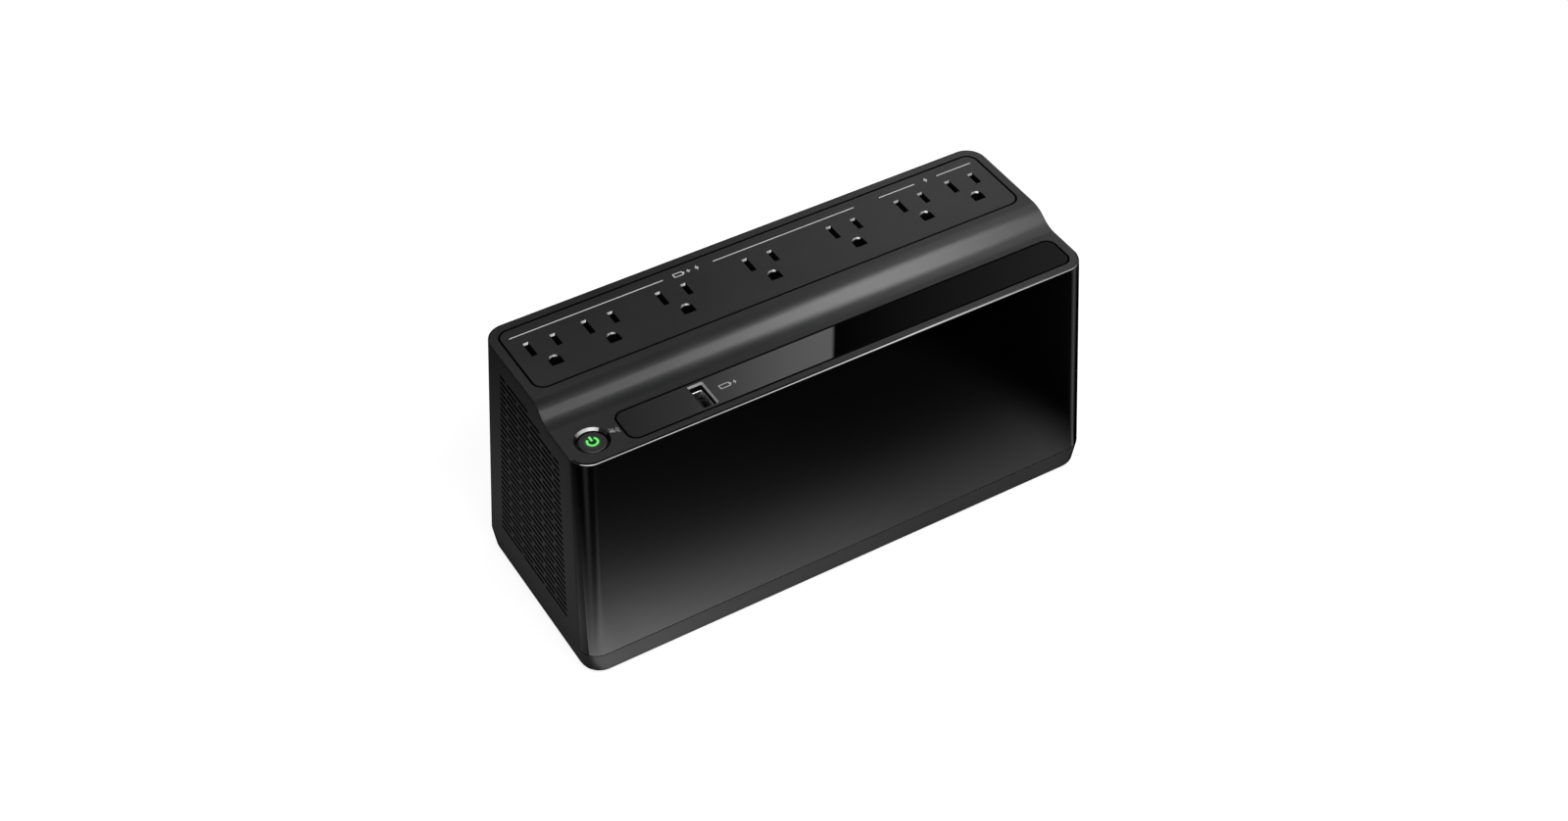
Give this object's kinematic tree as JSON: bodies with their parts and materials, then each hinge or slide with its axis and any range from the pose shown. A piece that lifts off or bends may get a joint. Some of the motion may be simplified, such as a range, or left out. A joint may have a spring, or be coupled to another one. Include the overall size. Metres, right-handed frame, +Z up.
{
  "type": "uninterruptible power supply",
  "caption": "Long desktop battery backup unit with a stepped deck of mains outlets, a gloss status strip with a charging port, a lit power button and vented ends.",
  "frame": {"origin": "on the ground under the middle of the case", "axes": "+X along the length to the right, +Y to the back, +Z up; the gloss front faces -Y"},
  "size_m": [0.274, 0.105, 0.1338],
  "materials": {
    "case_plastic": "fine matt texture, dark grey",
    "gloss_plastic": "polished black",
    "button_plastic": "satin dark grey",
    "inner_plastic": "plain moulded",
    "foot_rubber": "soft black rubber",
    "brass": "stamped strip",
    "shell_steel": "plated sheet",
    "circuit_board": "green board",
    "battery_case": "moulded battery case",
    "core_iron": "laminated iron",
    "coil_copper": "enamelled copper winding",
    "heat_sink_alloy": "plain extrusion",
    "capacitor_sleeve": "shrink sleeve",
    "reset_cap": "red cap"
  },
  "bodies": {
    "case": {"base_tray": "case_plastic", "rear_panel": "case_plastic", "left_end_panel": "case_plastic", "right_end_panel": "case_plastic", "top_cover": "case_plastic", "outlet_panel": "case_plastic", "front_panel": "gloss_plastic", "status_strip": "gloss_plastic", "contact_rail_front": "inner_plastic", "contact_divider": "inner_plastic", "contact_rail_rear": "inner_plastic", "port_tongue": "inner_plastic", "power_switch": "inner_plastic", "transfer_relay": "inner_plastic", "sounder": "inner_plastic", "breaker_body": "inner_plastic", "breaker_collar": "inner_plastic", "data_jack": "inner_plastic", "foot_front_left": "foot_rubber", "foot_front_right": "foot_rubber", "foot_rear_left": "foot_rubber", "foot_rear_right": "foot_rubber", "cord_gland": "foot_rubber", "neutral_strip": "brass", "backed_line_strip": "brass", "surge_line_strip": "brass", "ground_strip": "brass", "terminal_negative": "brass", "terminal_positive": "brass", "port_shell": "shell_steel", "indicator_board": "circuit_board", "main_board": "circuit_board", "battery": "battery_case", "transformer_core": "core_iron", "transformer_coil": "coil_copper", "heat_sink": "heat_sink_alloy", "capacitor_left": "capacitor_sleeve", "capacitor_middle": "capacitor_sleeve", "capacitor_right": "capacitor_sleeve"},
    "button": {"power_button": "button_plastic"},
    "reset": {"breaker_reset": "reset_cap"},
    "hatch": {"battery_cover": "case_plastic"}
  },
  "joints": [
    {"name": "power_press", "type": "slide", "parent": "case", "child": "button", "axis": [0, 0, -1], "range_m": [0, 0.001], "stiffness_N_per_m": 2000, "springref_m": -0.0005},
    {"name": "reset_press", "type": "slide", "parent": "case", "child": "reset", "axis": [0, -1, 0], "range_m": [0, 0.001], "stiffness_N_per_m": 3000, "springref_m": -0.0005},
    {"name": "battery_cover_slide", "type": "slide", "parent": "case", "child": "hatch", "axis": [-1, 0, 0], "range_m": [0, 0.01]}
  ]
}
